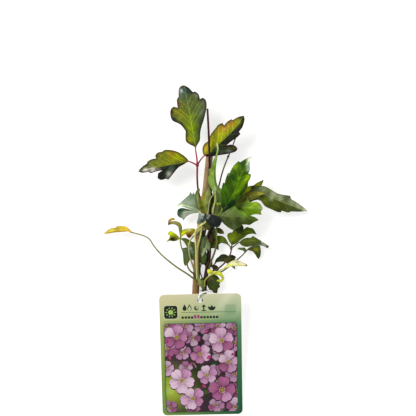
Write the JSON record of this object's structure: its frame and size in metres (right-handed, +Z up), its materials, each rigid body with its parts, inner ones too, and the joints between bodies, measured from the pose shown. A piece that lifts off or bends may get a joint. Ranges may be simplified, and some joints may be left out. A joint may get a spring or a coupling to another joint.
{
  "type": "young clematis plant on a bamboo cane with a hang label",
  "caption": "Young climbing clematis with lobed compound leaves, its dark stem beside a bamboo cane, laid flat, with a hang label on a plastic loop.",
  "frame": {"origin": "centre of the bounding box at the surface that the plant lies on", "axes": "+Y along the plant towards its shoots, +Z up from the surface, +X to the right as seen from above"},
  "size_m": [0.1928, 0.3078, 0.0482],
  "materials": {
    "bamboo": "satin dried bamboo, tan and lightly streaked",
    "bark": "satin dark purple-brown bark",
    "green_shoot": "soft satin pale green skin",
    "dry_stalk": "matte dry brown",
    "bronze_leaf": "satin olive with maroon margins",
    "green_leaf": "satin mid green with paler veins",
    "grey_leaf": "satin grey-green",
    "dark_leaf": "satin dark olive",
    "yellow_leaf": "satin yellow, thin and faded",
    "printed_card": "semi-gloss printed plastic card",
    "white_plastic": "smooth white plastic"
  },
  "bodies": {
    "root": {"back_leaf": "dark_leaf", "bamboo_cane": "bamboo", "curled_leaf": "yellow_leaf", "dead_stalk": "dry_stalk", "drooping_leaf": "green_leaf", "far_leaf": "grey_leaf", "forked_leaf": "grey_leaf", "great_leaf": "green_leaf", "hang_label": "printed_card", "inner_leaf": "dark_leaf", "label_loop": "white_plastic", "left_leaf": "green_leaf", "low_leaf": "dark_leaf", "middle_leaf": "grey_leaf", "narrow_leaf": "green_leaf", "old_stem": "bark", "right_leaf": "green_leaf", "top_leaf": "bronze_leaf", "twining_stalk": "green_shoot", "under_leaf": "dark_leaf", "yellow_leaf": "yellow_leaf", "young_shoot": "green_shoot"}
  },
  "joints": []
}
